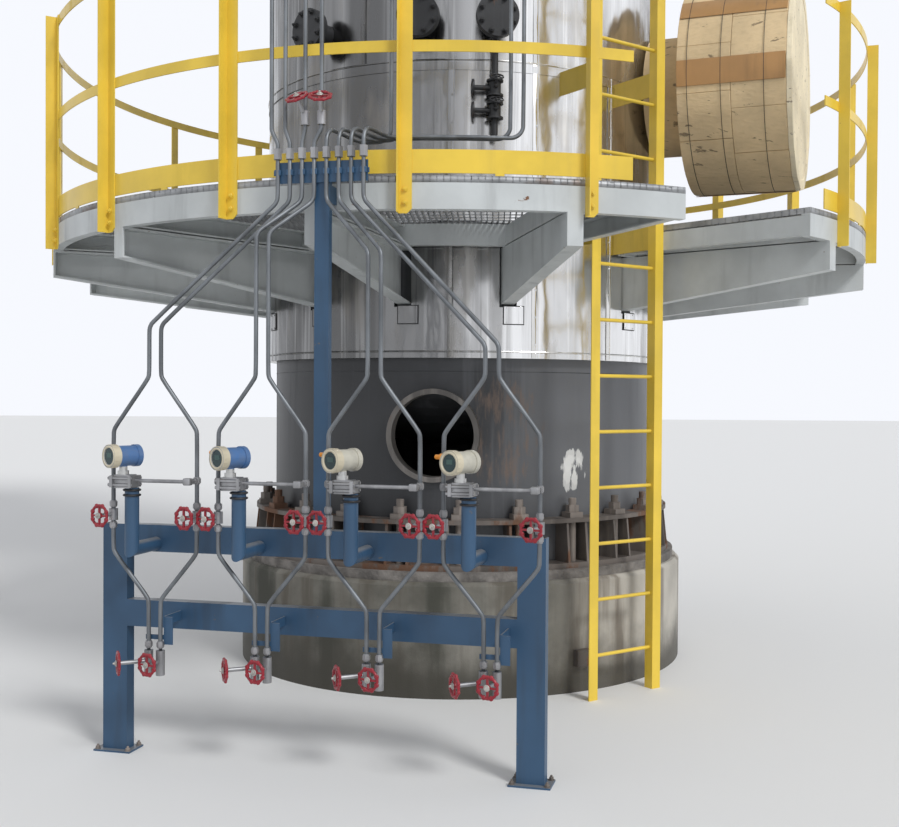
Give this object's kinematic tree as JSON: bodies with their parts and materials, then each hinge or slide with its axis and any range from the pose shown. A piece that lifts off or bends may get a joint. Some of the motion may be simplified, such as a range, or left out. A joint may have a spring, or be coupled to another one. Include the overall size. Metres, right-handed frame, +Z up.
{
  "type": "distillation column",
  "caption": "Skirt-supported distillation column with ring platforms, caged ladder, insulated manways and an instrument stand with fanned impulse tubes",
  "frame": {"origin": "column's axis at ground level, on the underside of the pedestal", "axes": "+Z up, -Y towards the instrument stand, +X to the right seen from there"},
  "size_m": [5.0771, 5.5477, 14.5475],
  "materials": {
    "bare_steel": "dark grey primer, streaked and stained",
    "bolt_steel": "dull steel with rust",
    "cladding": "seamed, lightly dented stainless sheet",
    "concrete": "cast concrete, stained dark near the ground",
    "grating": "galvanised grating",
    "grout": "rough non-shrink grout",
    "housing_blue": "enamelled aluminium housing",
    "insulation": "tan block insulation with brown tape",
    "insulation_rim": "pale edge of the insulation",
    "nozzle_steel": "dark forged steel",
    "ochre_yellow": "safety yellow paint",
    "platform_grey": "light grey paint",
    "safety_yellow": "safety yellow paint",
    "stand_blue": "steel blue paint",
    "tube_steel": "drawn stainless tube",
    "valve_steel": "forged stainless valve body",
    "vessel_steel": "dark primer",
    "wheel_red": "red enamel"
  },
  "bodies": {
    "root": {"pedestal": "concrete", "earthing_lug": "bare_steel", "grout_bed": "grout", "base_ring": "bare_steel", "chair_ring": "bare_steel", "chair_gussets": "bare_steel", "anchor_bolts": "bolt_steel", "skirt": "bare_steel", "access_sleeve": "bare_steel", "bottom_head": "vessel_steel", "vessel_shell": "vessel_steel", "cladding_base": "cladding", "cladding_lower": "cladding", "cladding_middle": "cladding", "cladding_upper": "cladding", "top_head": "cladding", "vapour_nozzle": "nozzle_steel", "platform_brackets": "platform_grey", "platform_1_frame": "platform_grey", "platform_2_frame": "platform_grey", "platform_3_frame": "platform_grey", "platform_1_deck": "grating", "platform_2_deck": "grating", "platform_3_deck": "grating", "platform_1_toe_plate": "safety_yellow", "platform_2_toe_plate": "safety_yellow", "platform_3_toe_plate": "safety_yellow", "platform_1_guard": "safety_yellow", "platform_2_guard": "safety_yellow", "platform_3_guard": "safety_yellow", "ladder": "safety_yellow", "ladder_cleats": "ochre_yellow", "ladder_cages": "safety_yellow", "manway_boxes": "insulation", "manway_rims": "insulation_rim", "instrument_nozzles": "nozzle_steel", "stand_legs": "stand_blue", "stand_beams": "stand_blue", "stand_stanchions": "stand_blue", "riser": "stand_blue", "tube_clamp": "stand_blue", "impulse_tubes": "tube_steel", "transmitters": "housing_blue", "manifolds": "valve_steel", "valve_bodies": "valve_steel", "handwheels": "wheel_red"}
  },
  "joints": []
}
